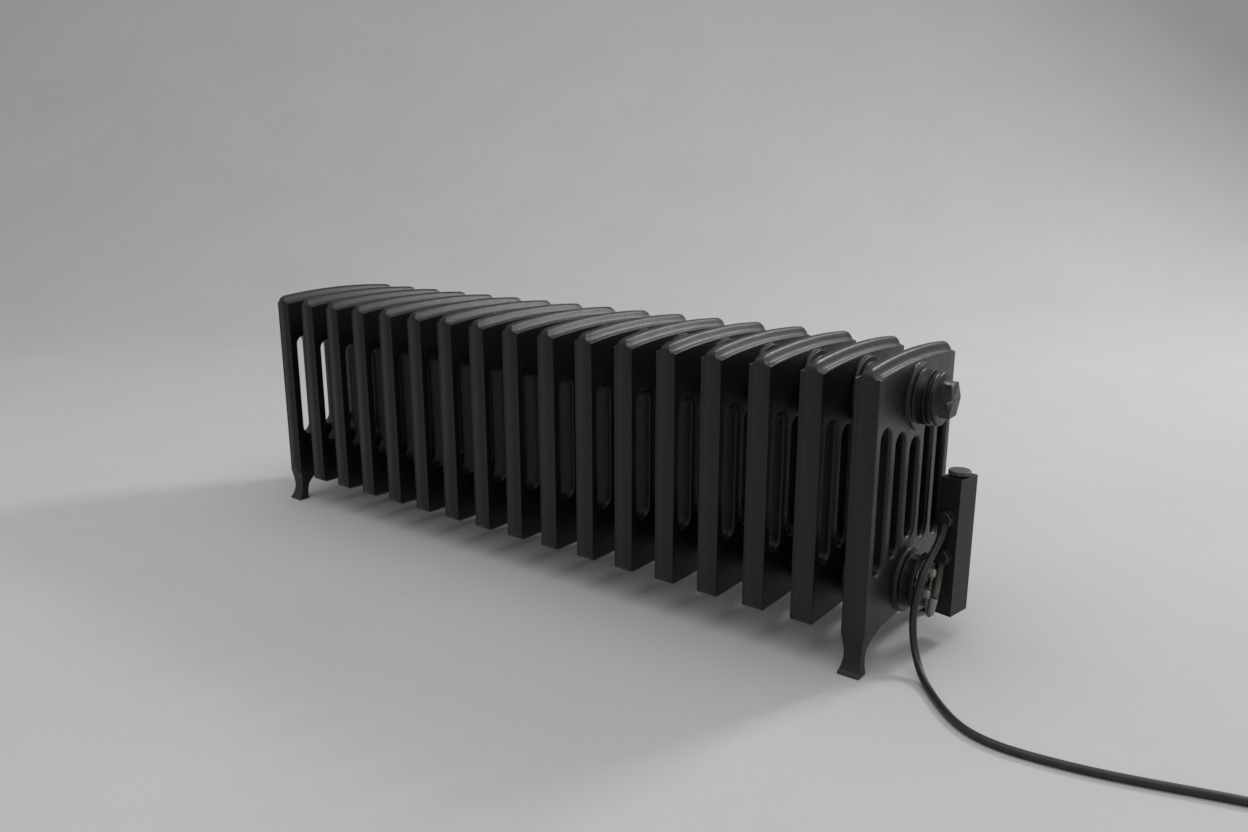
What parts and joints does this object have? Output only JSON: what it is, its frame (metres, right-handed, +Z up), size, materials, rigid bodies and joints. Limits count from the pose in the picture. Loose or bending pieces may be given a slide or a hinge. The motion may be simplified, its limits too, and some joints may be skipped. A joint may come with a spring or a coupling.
{
  "type": "cast iron electric radiator",
  "caption": "Low cast iron column radiator with footed end sections, an electric element in a lower hub, a slim control box with a knob, and a mains cord with a plug.",
  "frame": {"origin": "on the floor, at the middle of the radiator's own box, without the free cord and its plug", "axes": "+X along the row of sections towards the control box, +Y from the front to the back, +Z up"},
  "size_m": [1.5058, 0.3012, 0.3329],
  "materials": {
    "iron": "black satin paint over a fine cast grain",
    "iron_fittings": "black satin paint, machined edges worn brighter",
    "nipple_iron": "bare machined iron, hidden in the hubs",
    "gasket": "thin pressed-fibre ring, matte",
    "brass": "turned brass, dulled",
    "rod_steel": "plain steel",
    "copper": "drawn copper",
    "porcelain": "glazed ceramic, off-white",
    "bracket_steel": "grey steel sheet",
    "box_metal": "satin dark grey-black paint",
    "inner_plastic": "plain black moulding",
    "knob_plastic": "grey top, darker edge",
    "outlet_plastic": "smooth black moulding",
    "lead_sleeve": "dark grey-green sleeve",
    "boot_rubber": "pale soft boot",
    "wire_cover": "pale heat-proof cover",
    "cord_rubber": "smooth black sheath",
    "tie_strap": "plain black strap",
    "plug_rubber": "smooth black moulding",
    "pin_metal": "bright nickel"
  },
  "bodies": {
    "radiator": {"section_01": "iron", "section_02": "iron", "section_03": "iron", "section_04": "iron", "section_05": "iron", "section_06": "iron", "section_07": "iron", "section_08": "iron", "section_09": "iron", "section_10": "iron", "section_11": "iron", "section_12": "iron", "section_13": "iron", "section_14": "iron", "section_15": "iron", "section_16": "iron", "section_17": "iron", "top_nipples": "nipple_iron", "bottom_nipples": "nipple_iron", "top_gaskets": "gasket", "bottom_gaskets": "gasket", "end_gaskets": "gasket", "top_right_bush": "iron_fittings", "top_left_bush": "iron_fittings", "bottom_left_bush": "iron_fittings", "top_right_plug": "iron_fittings", "top_left_plug": "iron_fittings", "bottom_left_plug": "iron_fittings", "element_bush": "iron_fittings", "element_head": "brass", "element_rods": "rod_steel", "thermostat_pocket": "rod_steel", "thermostat_bulb": "copper", "terminal_insulators": "porcelain", "terminal_studs": "rod_steel", "terminal_nuts": "brass", "box_bracket": "bracket_steel", "bracket_screws": "rod_steel", "box_shell": "box_metal", "box_top": "box_metal", "box_bottom": "box_metal", "thermostat_body": "inner_plastic", "terminal_block": "porcelain", "outlet_bases": "outlet_plastic", "upper_outlet": "outlet_plastic", "lower_outlet": "outlet_plastic", "outlet_nuts": "rod_steel", "element_lead": "lead_sleeve", "lead_boots": "boot_rubber", "lead_wires": "wire_cover", "strain_relief": "cord_rubber", "power_cord": "cord_rubber", "cord_coil": "cord_rubber", "cord_tail": "cord_rubber", "cord_tie": "tie_strap", "mains_plug": "plug_rubber", "plug_pins": "pin_metal", "plug_earth": "brass"},
    "knob": {"knob": "knob_plastic", "knob_spindle": "rod_steel"}
  },
  "joints": [
    {"name": "knob_turn", "type": "hinge", "parent": "radiator", "child": "knob", "pos_m": [0.52194, 0.04675, 0.191], "axis": [0, 0, 1], "range_deg": [-135, 135]}
  ]
}
